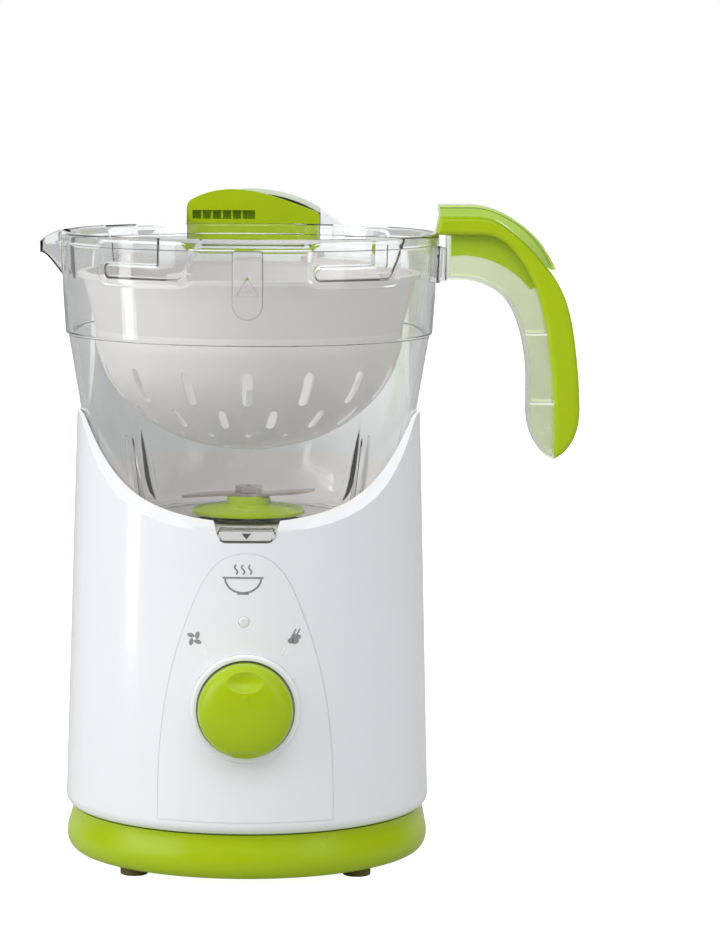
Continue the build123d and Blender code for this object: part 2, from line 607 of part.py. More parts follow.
def jug():
    body = jug_shell() + spout(0)
    for start in (-50.5, 18.0, 129.5, 198.0):
        body = body + sector(84, 89.6, 275.5, 295, start, 34.0)
    body = body + (block(-6.9, 6.9, -89.6, -80, 262.0, 295) - disc(84.0, 200, 300))
    body = body - jug_room() - (spout(1.0) - disc(80.0, 260, 320))
    for start, span, mouth in [(-48.5, 22.5, -26.0), (20.0, 22.0, 41.9), (131.5, 22.5, 154.0),
                               (200.0, 22.0, 221.9)]:
        body = body - sector(84, 88.0, CHANNEL_LOW, CHANNEL_HIGH, start, span + 0.2)
        body = body - sector(84, 88.0, CHANNEL_LOW, JUG_TOP + 1, mouth, 9.0)
    triangle = Plane.XZ * Polygon((-5, 273), (5, 273), (0, 281), align=None)
    inner_triangle = Plane.XZ * Polygon((-3.4, 274), (3.4, 274), (0, 279.4), align=None)
    mark = extrude(triangle, 60, both=True) - extrude(inner_triangle, 61, both=True)
    mark = (Pos(0, -60, 0) * mark) & (disc(91, 260, 290) - disc(89.0, 250, 300))
    body = body - mark
    for k in range(4):
        rib_foot = JUG_FLOOR + 2
        edge = Polyline((79, 206), (75.9, 206), (63.0, rib_foot), (79, rib_foot), (79, 206))
        rib = side_plate(edge, 2.6)
        rib = (azimuth(45 + 90 * k) * rib) & jug_shell()
        body = body + rib
    body = body + ring(57.0, 54.0, JUG_FLOOR - 0.8, JUG_FLOOR + 0.5)
    body = body + ring(22.0, 19.5, JUG_FLOOR - 13, JUG_FLOOR + 1)
    body = body - disc(6.0, JUG_FLOOR - 2, JUG_FLOOR + 5)
    tab = tab_prism(0, -83.4, -66, 165.2) & disc(83.2, 150, 170)
    body = body + (tab - jug_room())
    root = block(86.5, 93.0, -9.0, 9.0, 274.2, 292.5) - disc(86.8, 200, 300)
    body = body + root
    keep("jug_body", body)
    keep("shaft_bush", ring(5.98, SHAFT_RADIUS + 0.03, JUG_FLOOR - 4, JUG_FLOOR + 3.6))
    seal = ring(7.6, SHAFT_RADIUS + 0.05, JUG_FLOOR + 3.6, JUG_FLOOR + 5.0)
    keep("shaft_seal", seal)


def blade():
    z0 = JUG_FLOOR + 5.6
    cone = revolved([Polyline((SHAFT_RADIUS, z0), (BLADE_DISC_RADIUS, z0), (BLADE_DISC_RADIUS, z0 + 1.8)),
                     Spline((BLADE_DISC_RADIUS, z0 + 1.8), (19.0, z0 + 3.6), (10.8, z0 + 4.6)),
                     Polyline((10.8, z0 + 4.6), (10.2, z0 + 8.2), (9.2, z0 + 8.8), (SHAFT_RADIUS, z0 + 8.8),
                              (SHAFT_RADIUS, z0))])
    keep("blade_disc", cone)
    shaft = disc(SHAFT_RADIUS, SHAFT_TOP + 0.7, z0 + 14.0)
    shaft = shaft - disc(2.2, z0 + 6, z0 + 20)
    keep("blade_shaft", shaft)
    blades = []
    thickness = 1.4
    mid = z0 + 9.3
    hub = ring(7.5, SHAFT_RADIUS, z0 + 8.85, mid + thickness)
    outline = Spline((4, -6.0), (16, -9.2), (26, -7.2), (32, 1.5))
    back = Spline((32, 1.5), (22, 2.4), (12, 3.4), (4, 6.0))
    closing = Line((4, 6.0), (4, -6.0))
    wing = make_face([outline, back, closing])
    steel = hub
    for turn, rise in ((0, 9.0), (180, -9.0)):
        flat = extrude(wing, thickness)
        flat = flat - disc(5.5, -5, 5)
        tilt = Pos(6, 0, 0) * Rot(0, -rise * 0.5, 0) * Pos(-6, 0, 0)
        tilted = Pos(0, 0, mid) * Rot(0, 0, turn) * tilt * flat
        steel = steel + tilted
    steel = steel - disc(SHAFT_RADIUS, 100, 200)
    keep("steel_blade", steel)
    nut = extrude(Pos(0, 0, mid + thickness + 0.1) * RegularPolygon(6.4, 6), 3.4)
    nut = nut - disc(SHAFT_RADIUS, 100, 200)
    keep("blade_nut", nut)
    driven = ring(16.5, 13.6, 136.2, 150)
    driven = driven + ring(16.5, SHAFT_RADIUS, 149, 153)
    for k in range(6):
        driven = driven + azimuth(60 * k + 30) * block(9.8, 14.5, -1.9, 1.9, 136.2, 150)
    keep("driven_coupling", driven)


# ---- basket ----
BASKET_WALL = 1.6
LUG_AZIMUTHS = [-21.5, 46.5, 158.5, 226.5]


def basket_form(inset):
    """Solid of the basket's outside, moved in by an inset: a half ellipsoid with a small flat below."""
    radius = BASKET_RADIUS - inset
    drop = BASKET_DROP - inset
    start = radians(8)
    points = []
    for k in range(9):
        angle = start + (pi / 2 - start) * k / 8
        points.append((radius * sin(angle), BASKET_EQUATOR - drop * cos(angle)))
    bowl = Spline(points, tangents=[(1, 0.1), (0, 1)])
    wall = Polyline(points[-1], (79.0 - inset, BASKET_RIM - 2), (79.0 - inset, BASKET_RIM), (0, BASKET_RIM),
                    (0, points[0][1]), points[0])
    return revolved([bowl, wall])


def bowl_radius(z):
    return BASKET_RADIUS * sqrt(1 - ((BASKET_EQUATOR - z) / BASKET_DROP) ** 2)


def basket():
    body = basket_form(0)
    body = body + ring(81.5, 76.0, BASKET_RIM - 2.2, BASKET_RIM)
    for middle in LUG_AZIMUTHS:
        body = body + sector(78.0, 81.5, BASKET_RIM - 2.2, BASKET_RIM + 3.0, middle - 3.2, 6.4)
        body = body + sector(81.0, 87.3, BASKET_RIM + 0.2, BASKET_RIM + 3.0, middle - 3.2, 6.4)
    room = basket_form(BASKET_WALL)
    room = room + disc(77.2, BASKET_RIM - 3, BASKET_RIM + 4)
    body = body - room
    cutters = []
    for k in range(15):
        cutters.append(azimuth(24 * k) * side_slot(4.7, 220.5, 236.5))
        cutters.append(azimuth(24 * k + 12) * side_slot(4.0, 209.0, 218.0))
        radius = bowl_radius(205.5)
        cutters.append(azimuth(24 * k) * disc(1.5, 190, 215, 0, -radius + 1))
    for k in range(8):
        cutters.append(azimuth(45 * k + 20) * disc(1.5, 190, 215, 0, -24))
    for k in range(4):
        cutters.append(azimuth(90 * k + 30) * disc(1.5, 190, 215, 0, -9))
    for cutter in cutters:
        body = body - cutter
    keep("steam_basket", body)


def side_slot(width, z0, z1):
    """An upright slot through the basket's wall at the front."""
    slot = block(-width / 2, width / 2, -80, -30, z0 + width / 2, z1 - width / 2)
    slot = slot + forward_disc(width / 2, -80, -30, z=z0 + width / 2)
    return slot + forward_disc(width / 2, -80, -30, z=z1 - width / 2)


# ---- handle ----
def handle():
    """Open hook handle: a solid strip, a clear hollow grip inside it and a clear cap over its shoulder."""
    shoulder = Spline((107.0, 306.1), (124.0, 299.4), (136.2, 288.0), (141.6, 281.4),
                      tangents=[(1, 0), (0.6, -0.8)])
    back = Spline((141.6, 281.4), (149.6, 267.8), (154.6, 246.0), (157.0, 220.0), (156.4, 207.0),
                  (151.6, 196.4), (145.0, 191.3))
    inner = Spline((145.0, 191.3), (145.0, 213.0), (141.1, 251.9), (134.6, 274.8), (124.8, 290.1),
                   (109.7, 297.4), tangents=[(0, 1), (-1, 0)])
    strip = side_plate([Line((89.9, 306.1), (107.0, 306.1)), shoulder, back, inner,
                        Polyline((109.7, 297.4), (88.0, 297.4), (89.9, 306.1))], HANDLE_WIDTH / 2)
    strip = fillet(strip.edges().filter_by(lambda e: abs(e.center().Y) > HANDLE_WIDTH / 2 - 0.1), 2.4)
    web_low = Spline((95.3, 287.2), (108.0, 287.0), (122.0, 281.5), (133.4, 271.5))
    web = side_plate([web_low, Polyline((133.4, 271.5), (136.4, 274.0)),
                      Spline((136.4, 274.0), (126.0, 290.2), (110.0, 298.0)),
                      Polyline((110.0, 298.0), (95.3, 298.4), (95.3, 287.2))], 5.0)
    rim = disc(RIM_RADIUS + 0.12, 200, JUG_TOP + 0.12)
    strip = (strip + web) - rim
    keep("handle_strip", strip)
    cover = side_plate([Polyline((89.4, 311.5), (104.0, 311.6)),
                        Spline((104.0, 311.6), (118.0, 308.6), (131.0, 300.5), (145.1, 281.4),
                               tangents=[(1, 0), (0.45, -0.9)]),
                        Polyline((145.1, 281.4), (141.8, 281.6)),
                        Spline((141.8, 281.6), (136.4, 288.2), (124.1, 299.6), (107.0, 306.3),
                               tangents=[(-0.6, 0.8), (-1, 0)]),
                        Polyline((107.0, 306.3), (90.0, 306.3), (89.4, 311.5))], HANDLE_WIDTH / 2 + 0.8)
    top_edges = cover.edges().filter_by(lambda e: abs(e.center().Y) > HANDLE_WIDTH / 2 + 0.7)
    top_edges = top_edges.filter_by(lambda e: e.center().Z > 311 or 299.5 < e.center().Z < 305.5)
    cover = fillet(top_edges, 1.5)
    keep("handle_cover", cover)
    keep("inner_grip", inner_grip())


def grip_outline(inset, spread=0.0):
    """The clear grip between the strip and the fingers; its hollow faces the strip."""
    near = Spline((145.0 - inset, 191.0 + 1.2 * inset), (138.3 + inset, 195.6 + 0.7 * inset),
                  (133.3 + inset, 205.8), (132.2 + inset, 225.3),
                  (128.8 + inset, 251.8), (119.8 + 0.7 * inset, 268.5 + 0.7 * inset),
                  (106.0, 275.5 + inset), (93.2 + inset, 275.7 + inset))
    far = Spline((109.7, 297.2 + spread), (124.7 + 0.8 * spread, 289.9 + 0.8 * spread),
                 (134.5 + spread, 274.6 + 0.5 * spread), (141.0 + spread, 251.7),
                 (144.9 + spread, 213.0), (144.9 + spread, 193.5 + inset))
    root = Polyline((93.2 + inset, 275.7 + inset), (93.2 + inset, 297.2 + spread), (109.7, 297.2 + spread))
    tip = Line((144.9 + spread, 193.5 + inset), (145.0 - inset, 191.0 + 1.2 * inset))
    return [near, root, far, tip]


def inner_grip():
    half = HANDLE_WIDTH / 2 - 1.2
    room = side_plate(grip_outline(2.0, 1.5), half - 2.0)
    for z in (250.7, 217.7):
        room = room - block(120, 150, -half, half, z - 0.8, z + 0.8)
    grip = side_plate(grip_outline(0), half) - room
    grip = grip - disc(RIM_RADIUS + 0.2, 200, JUG_TOP + 0.2)
    return grip


def main():
    housing()
    cradle()
    fascia()
    tray()
    feet()
    knob()
    switches()
    interlock()
    lock_block()
    cap()
    motor()
    rotor()
    boiler()
    electrics()
    jug()
    blade()
    basket()
    handle()
    os.makedirs("parts", exist_ok=True)
    for name, solids in nodes.items():
        shape = solids[0] if len(solids) == 1 else Compound(solids)
        export_step(shape, f"parts/{name}.step")


main()
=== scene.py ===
import bpy
import json
import math
import numpy as np
from mathutils import Euler, Matrix, Vector


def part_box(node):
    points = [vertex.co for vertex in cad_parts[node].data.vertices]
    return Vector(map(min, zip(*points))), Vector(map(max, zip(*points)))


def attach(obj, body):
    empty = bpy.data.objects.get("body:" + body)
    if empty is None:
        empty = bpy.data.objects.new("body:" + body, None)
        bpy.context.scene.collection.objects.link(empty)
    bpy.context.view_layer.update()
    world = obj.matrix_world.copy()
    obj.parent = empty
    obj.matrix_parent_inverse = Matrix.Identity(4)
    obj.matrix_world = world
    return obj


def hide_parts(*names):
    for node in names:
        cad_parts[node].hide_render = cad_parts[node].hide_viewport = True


# Baby food maker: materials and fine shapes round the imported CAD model. +Z is up and -Y the front.
# The stage is in metres. Shapes of the object are worked out in millimetres and angles in degrees,
# measured round the jug from the front (0) over the handle (90) to the spout (270).
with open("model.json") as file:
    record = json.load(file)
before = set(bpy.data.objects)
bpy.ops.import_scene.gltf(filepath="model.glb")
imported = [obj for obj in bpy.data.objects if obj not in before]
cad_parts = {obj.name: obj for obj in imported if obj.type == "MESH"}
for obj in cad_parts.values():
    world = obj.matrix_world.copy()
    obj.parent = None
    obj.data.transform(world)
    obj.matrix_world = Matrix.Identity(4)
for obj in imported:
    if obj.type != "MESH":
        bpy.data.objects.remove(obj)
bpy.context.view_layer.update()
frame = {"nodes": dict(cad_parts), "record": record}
NODES = frame["nodes"]
MM = 0.001
FRONT, HANDLE, SPOUT = 0.0, 90.0, 270.0

# camera: lens in mm, place in metres, angles in degrees
LENS, SENSOR = 143.53, 36.0
CAMERA_PLACE = (0.020, -1.757, 0.3765)
PITCH, YAW, ROLL = 6.14, 1.08, 0.45

# strengths of the studio
ROOM_FRONT = 0.10
ROOM_ABOVE = 0.90
STRIP_POWER = 2.0
SIDE_POWER = 8.0
FILL_POWER = 3.0
HIGH_POWER = 4.6
FLOOR_GLOW = 0.10
FLOOR_SEEN = 0.95
FLOOR_HALF = 6.0


# ---- view, light and stage ----
def make_camera():
    """A long lens a little above the jug's rim, looking slightly down at the front."""
    data = bpy.data.cameras.new("camera")
    data.sensor_width = SENSOR
    data.lens = LENS
    data.clip_end = 20.0
    camera = bpy.data.objects.new("camera", data)
    bpy.context.scene.collection.objects.link(camera)
    turn = Euler((math.radians(90 - PITCH), 0, -math.radians(YAW)), "XYZ").to_matrix()
    turn = turn @ Matrix.Rotation(math.radians(ROLL), 3, "Z")
    camera.matrix_world = Matrix.Translation(CAMERA_PLACE) @ turn.to_4x4()
    bpy.context.scene.camera = camera


def make_panel(name, place, target, size, power):
    """White area light at a place, aimed at a target."""
    data = bpy.data.lights.new(name, "AREA")
    data.shape = "RECTANGLE"
    data.size, data.size_y = size
    data.energy = power
    light = bpy.data.objects.new(name, data)
    light.location = place
    aim = Vector(target) - Vector(place)
    light.rotation_euler = aim.to_track_quat("-Z", "Y").to_euler()
    bpy.context.scene.collection.objects.link(light)


def ramp_node(tree, value, low, high, start, end):
    """Smooth step from low to high as the value goes from start to end."""
    spread = tree.nodes.new("ShaderNodeMapRange")
    spread.interpolation_type = "SMOOTHSTEP"
    spread.inputs["From Min"].default_value = start
    spread.inputs["From Max"].default_value = end
    spread.inputs["To Min"].default_value = low
    spread.inputs["To Max"].default_value = high
    tree.links.new(value, spread.inputs["Value"])
    return spread.outputs["Result"]


def make_world():
    """White backdrop; the studio that lights the object is bright behind and above, dim in front."""
    world = bpy.data.worlds.new("studio")
    world.use_nodes = True
    tree = world.node_tree
    backdrop = tree.nodes["Background"]
    backdrop.inputs["Color"].default_value = (1.0, 1.0, 1.0, 1.0)
    backdrop.inputs["Strength"].default_value = 1.0
    room = tree.nodes.new("ShaderNodeBackground")
    room.inputs["Color"].default_value = (0.97, 0.985, 1.0, 1.0)
    place = tree.nodes.new("ShaderNodeTexCoord")
    split = tree.nodes.new("ShaderNodeSeparateXYZ")
    tree.links.new(place.outputs["Generated"], split.inputs["Vector"])
    behind = ramp_node(tree, split.outputs["Y"], ROOM_FRONT, 1.0, 0.40, 0.85)
    above = ramp_node(tree, split.outputs["Z"], 0.0, ROOM_ABOVE, 0.2, 0.9)
    total = tree.nodes.new("ShaderNodeMath")
    total.operation = "ADD"
    tree.links.new(behind, total.inputs[0])
    tree.links.new(above, total.inputs[1])
    tree.links.new(total.outputs["Value"], room.inputs["Strength"])
    rays = tree.nodes.new("ShaderNodeLightPath")
    choose = tree.nodes.new("ShaderNodeMixShader")
    tree.links.new(rays.outputs["Is Camera Ray"], choose.inputs["Fac"])
    tree.links.new(room.outputs["Background"], choose.inputs[1])
    tree.links.new(backdrop.outputs["Background"], choose.inputs[2])
    tree.links.new(choose.outputs["Shader"], tree.nodes["World Output"].inputs["Surface"])
    bpy.context.scene.world = world


def make_stage():
    """Pale floor and four panels: strip and soft panel on the left, weak fill, high one in front."""
    scene = bpy.context.scene
    scene.view_settings.view_transform = "Standard"
    make_world()
    mesh = bpy.data.meshes.new("floor")
    corners = [(x * FLOOR_HALF, y * FLOOR_HALF, 0) for x, y in ((-1, -1), (1, -1), (1, 1), (-1, 1))]
    mesh.from_pydata(corners, [], [(0, 1, 2, 3)])
    floor = bpy.data.objects.new("floor", mesh)
    scene.collection.objects.link(floor)
    mesh.materials.append(pale_floor())
    make_panel("strip_left", (-0.97, -0.22, 0.30), (0, 0, 0.17), (0.16, 1.1), STRIP_POWER)
    make_panel("side_soft", (-1.25, -0.75, 0.75), (0, 0, 0.15), (0.9, 1.2), SIDE_POWER)
    make_panel("fill_right", (1.3, -1.2, 0.6), (0, 0, 0.15), (0.7, 1.0), FILL_POWER)
    make_panel("high_front", (0.15, -0.95, 1.20), (0, 0.03, 0.2), (1.0, 0.7), HIGH_POWER)


def pale_floor():
    """White paper sweep, seen bright, with a faint soft shadow; it glows only a little on the object."""
    material, shader, tree = new_material("pale_floor")
    shader.inputs["Base Color"].default_value = (0.5, 0.5, 0.5, 1)
    shader.inputs["Roughness"].default_value = 0.9
    shader.inputs["Specular IOR Level"].default_value = 0.0
    shader.inputs["Emission Color"].default_value = (1, 1, 1, 1)
    rays = tree.nodes.new("ShaderNodeLightPath")
    glow = ramp_node(tree, rays.outputs["Is Camera Ray"], FLOOR_GLOW, FLOOR_SEEN, 0.0, 1.0)
    tree.links.new(glow, shader.inputs["Emission Strength"])
    return material


# ---- materials ----
def new_material(name):
    """Material with its shader and node tree."""
    material = bpy.data.materials.new(name)
    material.use_nodes = True
    tree = material.node_tree
    return material, tree.nodes["Principled BSDF"], tree


def noise(tree, scale, detail=3.0):
    """Noise in the object's own space, so that it rides with the piece."""
    place = tree.nodes.new("ShaderNodeTexCoord")
    texture = tree.nodes.new("ShaderNodeTexNoise")
    texture.inputs["Scale"].default_value = scale
    texture.inputs["Detail"].default_value = detail
    tree.links.new(place.outputs["Object"], texture.inputs["Vector"])
    return texture.outputs["Fac"]


def vary_colour(tree, shader, colour, amount, scale):
    """A slow drift in lightness about the base colour."""
    ramp = tree.nodes.new("ShaderNodeValToRGB")
    low = [max(c * (1 - amount), 0) for c in colour]
    high = [min(c * (1 + amount), 1) for c in colour]
    ramp.color_ramp.elements[0].position = 0.3
    ramp.color_ramp.elements[0].color = (*low, 1)
    ramp.color_ramp.elements[1].position = 0.7
    ramp.color_ramp.elements[1].color = (*high, 1)
    tree.links.new(noise(tree, scale), ramp.inputs["Fac"])
    tree.links.new(ramp.outputs["Color"], shader.inputs["Base Color"])


def vary_roughness(tree, shader, low, high, scale):
    """Roughness that wanders between two values."""
    spread = tree.nodes.new("ShaderNodeMapRange")
    spread.inputs["From Min"].default_value = 0.3
    spread.inputs["From Max"].default_value = 0.7
    spread.inputs["To Min"].default_value = low
    spread.inputs["To Max"].default_value = high
    tree.links.new(noise(tree, scale, detail=5.0), spread.inputs["Value"])
    tree.links.new(spread.outputs["Result"], shader.inputs["Roughness"])


def add_bump(tree, shader, height, depth, strength):
    """Relief from a height pattern; depth in metres."""
    bump = tree.nodes.new("ShaderNodeBump")
    bump.inputs["Strength"].default_value = strength
    bump.inputs["Distance"].default_value = depth
    tree.links.new(height, bump.inputs["Height"])
    tree.links.new(bump.outputs["Normal"], shader.inputs["Normal"])


def plastic(name, colour, gloss=0.22, coat=0.3, drift=0.015, peel=0.06, subsurface=0.0, specular=0.5):
    """Moulded plastic: slow colour drift, uneven polish and a faint orange peel."""
    material, shader, tree = new_material(name)
    vary_colour(tree, shader, colour, drift, 9.0)
    vary_roughness(tree, shader, gloss * 0.85, gloss * 1.2, 45.0)
    add_bump(tree, shader, noise(tree, 700.0, detail=2.0), 0.00006, peel)
    shader.inputs["Coat Weight"].default_value = coat
    shader.inputs["Coat Roughness"].default_value = 0.06
    shader.inputs["Specular IOR Level"].default_value = specular
    shader.inputs["IOR"].default_value = 1.49
    if subsurface:
        shader.inputs["Subsurface Weight"].default_value = subsurface
        shader.inputs["Subsurface Radius"].default_value = (0.006, 0.006, 0.004)
        shader.inputs["Subsurface Scale"].default_value = 0.6
    return material


def clear(name, colour, ior, rough, drift=0.01):
    """Clear or tinted moulded plastic with faint flow waves."""
    material, shader, tree = new_material(name)
    vary_colour(tree, shader, colour, drift, 12.0)
    vary_roughness(tree, shader, rough * 0.7, rough * 1.4, 60.0)
    add_bump(tree, shader, noise(tree, 40.0, detail=1.0), 0.0003, 0.05)
    shader.inputs["Transmission Weight"].default_value = 1.0
    shader.inputs["IOR"].default_value = ior
    return material


def milky(name, colour, through, rough):
    """Cloudy moulded plastic that lets part of the light through."""
    material = plastic(name, colour, gloss=rough, coat=0.15)
    shader = material.node_tree.nodes["Principled BSDF"]
    shader.inputs["Transmission Weight"].default_value = through
    shader.inputs["IOR"].default_value = 1.3
    return material


def metal(name, colour, rough=0.28, grain=260.0):
    """Turned or drawn metal: fine stretched scratches over a slow stain."""
    material, shader, tree = new_material(name)
    vary_colour(tree, shader, colour, 0.08, 30.0)
    shader.inputs["Metallic"].default_value = 1.0
    place = tree.nodes.new("ShaderNodeTexCoord")
    stretch = tree.nodes.new("ShaderNodeMapping")
    stretch.inputs["Scale"].default_value = (1.0, 14.0, 1.0)
    lines = tree.nodes.new("ShaderNodeTexNoise")
    lines.inputs["Scale"].default_value = grain
    lines.inputs["Detail"].default_value = 4.0
    tree.links.new(place.outputs["Object"], stretch.inputs["Vector"])
    tree.links.new(stretch.outputs["Vector"], lines.inputs["Vector"])
    add_bump(tree, shader, lines.outputs["Fac"], 0.00003, 0.35)
    vary_roughness(tree, shader, rough * 0.8, rough * 1.25, 120.0)
    return material


def rubber(name, colour, rough=0.75):
    """Matt, slightly grainy rubber or carbon."""
    material, shader, tree = new_material(name)
    vary_colour(tree, shader, colour, 0.12, 60.0)
    vary_roughness(tree, shader, rough * 0.9, min(rough * 1.15, 1.0), 90.0)
    add_bump(tree, shader, noise(tree, 900.0, detail=4.0), 0.00015, 0.4)
    return material


def copper_wire(name):
    """Enamelled winding: rows of round wire."""
    material, shader, tree = new_material(name)
    vary_colour(tree, shader, (0.55, 0.22, 0.08), 0.15, 80.0)
    shader.inputs["Metallic"].default_value = 0.8
    shader.inputs["Coat Weight"].default_value = 0.6
    vary_roughness(tree, shader, 0.25, 0.4, 100.0)
    place = tree.nodes.new("ShaderNodeTexCoord")
    wave = tree.nodes.new("ShaderNodeTexWave")
    wave.bands_direction = "DIAGONAL"
    wave.inputs["Scale"].default_value = 420.0
    wave.inputs["Distortion"].default_value = 1.5
    tree.links.new(place.outputs["Object"], wave.inputs["Vector"])
    add_bump(tree, shader, wave.outputs["Fac"], 0.0002, 0.8)
    return material


def steel_sheets(name):
    """Stack of thin electrical steel sheets."""
    material, shader, tree = new_material(name)
    vary_colour(tree, shader, (0.20, 0.21, 0.23), 0.12, 60.0)
    shader.inputs["Metallic"].default_value = 0.9
    vary_roughness(tree, shader, 0.35, 0.5, 90.0)
    place = tree.nodes.new("ShaderNodeTexCoord")
    wave = tree.nodes.new("ShaderNodeTexWave")
    wave.bands_direction = "Z"
    wave.inputs["Scale"].default_value = 320.0
    tree.links.new(place.outputs["Object"], wave.inputs["Vector"])
    add_bump(tree, shader, wave.outputs["Fac"], 0.0002, 0.7)
    return material


def build_materials():
    """One material for each slot of the record."""
    return {
        "white_shell": plastic("white_abs", (0.89, 0.915, 0.925), gloss=0.16, coat=0.6),
        "light_liner": plastic("liner_abs", (0.90, 0.885, 0.87), gloss=0.24, coat=0.3),
        "lime_plastic": plastic("lime_pp", (0.41, 0.56, 0.001), gloss=0.30, coat=0.0, drift=0.02,
                                specular=0.35),
        "dark_rubber": rubber("foot_rubber", (0.12, 0.10, 0.02)),
        "zinc_steel": metal("zinc_steel", (0.62, 0.62, 0.60)),
        "clear_san": clear("clear_san", (0.99, 0.987, 0.982), ior=1.48, rough=0.012, drift=0.004),
        "pale_green_clear": clear("pale_green_clear", (0.95, 0.995, 0.80), ior=1.4, rough=0.2),
        "green_clear": clear("green_clear", (0.50, 0.72, 0.12), ior=1.46, rough=0.12),
        "basket_plastic": milky("basket_pp", (0.70, 0.69, 0.68), 0.40, 0.50),
        "blade_steel": metal("blade_steel", (0.62, 0.58, 0.54), rough=0.2, grain=180.0),
        "boiler_alloy": metal("boiler_alloy", (0.72, 0.72, 0.73), rough=0.4),
        "laminations": steel_sheets("laminations"),
        "copper": copper_wire("enamelled_copper"),
        "carbon": rubber("carbon_block", (0.02, 0.02, 0.02), rough=0.6),
        "black_plastic": plastic("black_pa", (0.025, 0.025, 0.028), gloss=0.45, coat=0.0, peel=0.2),
        "white_nylon": plastic("nylon", (0.78, 0.78, 0.74), gloss=0.4, coat=0.0, subsurface=0.2),
        "board_green": plastic("fr4_board", (0.02, 0.12, 0.04), gloss=0.35, coat=0.4),
        "silicone": rubber("silicone", (0.72, 0.71, 0.68), rough=0.55),
        "lamp_clear": milky("lamp_lens", (0.93, 0.93, 0.93), 0.15, 0.25),
    }


SHADOWLESS_SLOTS = ("clear_san", "pale_green_clear", "green_clear", "lamp_clear", "basket_plastic")


def finish_nodes(materials):
    """Gives each CAD node its slot's material; light passes the clear ones and the basket freely."""
    slots = {part["node"]: part["material_slot"] for part in frame["record"]["subparts"]}
    for name, node in NODES.items():
        node.data.materials.clear()
        node.data.materials.append(materials[slots[name]])
        node.visible_shadow = slots[name] not in SHADOWLESS_SLOTS


# ---- jug: (radius, height) runs of the wall, heights from the worktop ----
OUTER_SIDE = [(61.0, 157.0), (69.5, 162.4), (74.3, 174.0), (76.8, 189.0), (78.4, 204.0), (79.7, 214.0),
              (82.1, 228.0), (84.2, 241.0), (85.8, 250.0)]
INNER_SIDE = [(60.5, 160.0), (67.4, 165.3), (71.8, 176.0), (74.2, 190.0), (75.8, 204.0), (77.1, 214.0),
              (79.5, 228.0), (81.6, 241.0), (83.2, 250.0)]
JUG_RIM = 298.3
RIM_RADIUS = 90.0
COLLAR = [(87.0, 250.25), (88.3, 270.0), (88.9, 293.0), (RIM_RADIUS, 293.25)]

# columns of the wall's mesh, samples of its outside that belong to the foot, and stand-ins for no limit
JUG_COLUMNS = 900
FOOT_SAMPLES = 20
FAR = 99.0
OVER_RIM = 320.0

# bayonet channels, each a slot that opens upwards past its far end, and the raised pads over them
CHANNELS = ((-48.5, 22.5), (20.0, 22.0), (131.5, 22.5), (200.0, 22.0))
MOUTH_SPAN = 9.0
CHANNEL_LOW, CHANNEL_HIGH, CHANNEL_BED = 279.0, 286.0, 88.0
MOUTH_LEAN = 0.40
BOSS_SPAN, BOSS_LOW, BOSS_HIGH, BOSS_FACE = 34.0, 275.5, 297.0, 89.5

# front tongue with its triangle, root of the handle, and tab at the foot
TONGUE_HALF, TONGUE_FOOT, TONGUE_FACE = 6.9, 262.0, 89.6
TRIANGLE_FOOT, TRIANGLE_TIP, TRIANGLE_HALF, TRIANGLE_EASE = 273.0, 281.4, 5.0, 0.4997
ROOT_HALF, ROOT_LOW, ROOT_HIGH, ROOT_FACE = 9.0, 274.2, 292.5, 93.0
TAB_HALF, TAB_LOW, TAB_HIGH, TAB_FACE, TAB_FLARE = 13.2, 160.2, 165.2, 83.3, 0.35

# pouring lip: where its sides start, its tip, and its reach at heights of the underside
LIP_HALF, LIP_ROOT, LIP_TIP = 18.0, 82.0, 99.3
LIP_HEIGHTS, LIP_REACH = [274.5, 278.5, 283.5, 287.6, 290.6], [86.0, 88.6, 93.0, 96.8, 99.4]
LIP_WALL = 1.3

# four ribs inside the bottom
RIB_FOOT, RIB_TOP = (63.0, 159.0), (75.9, 206.0)


def smooth_step(value, start, end):
    """0 before the start, 1 after the end and an S-curve between them."""
    t = np.clip((value - start) / (end - start), 0.0, 1.0)
    return t * t * (3 - 2 * t)


def through(points, count=8):
    """Catmull-Rom curve through points, a few samples to each span."""
    p = np.array([points[0]] + list(points) + [points[-1]], float)
    out = []
    for k in range(1, len(p) - 2):
        for i in range(count):
            t = i / count
            a, b, c, d = p[k - 1], p[k], p[k + 1], p[k + 2]
            out.append(0.5 * (2 * b + (c - a) * t + (2 * a - 5 * b + 4 * c - d) * t ** 2
                              + (3 * b - 3 * c + d - a) * t ** 3))
    out.append(p[-2])
    return out


def resample(line, fine_above, fine, coarse):
    """Points along a polyline, closer together above a height."""
    line = np.array(line, float)
    out = [line[0]]
    for a, b in zip(line[:-1], line[1:]):
        step = fine if max(a[1], b[1]) > fine_above else coarse
        count = max(1, int(math.ceil(np.linalg.norm(b - a) / step)))
        out += [a + (b - a) * (i + 1) / count for i in range(count)]
    return np.array(out)


def soften(line, passes):
    """Rounds the corners of an open run of points; the ends stay."""
    line = line.copy()
    for _ in range(passes):
        line[1:-1] = 0.25 * line[:-2] + 0.5 * line[1:-1] + 0.25 * line[2:]
    return line


def box_distance(s, z, s0, s1, z0, z1, corner):
    """Signed distance to a rounded rectangle on the unrolled wall; negative inside."""
    ds = np.abs(s - (s0 + s1) / 2) - (s1 - s0) / 2 + corner
    dz = np.abs(z - (z0 + z1) / 2) - (z1 - z0) / 2 + corner
    return np.hypot(np.maximum(ds, 0), np.maximum(dz, 0)) + np.minimum(np.maximum(ds, dz), 0) - corner


def turn_between(angle, middle):
    """Angle from a middle azimuth, in degrees from -180 to 180."""
    return (angle - middle + 180.0) % 360.0 - 180.0


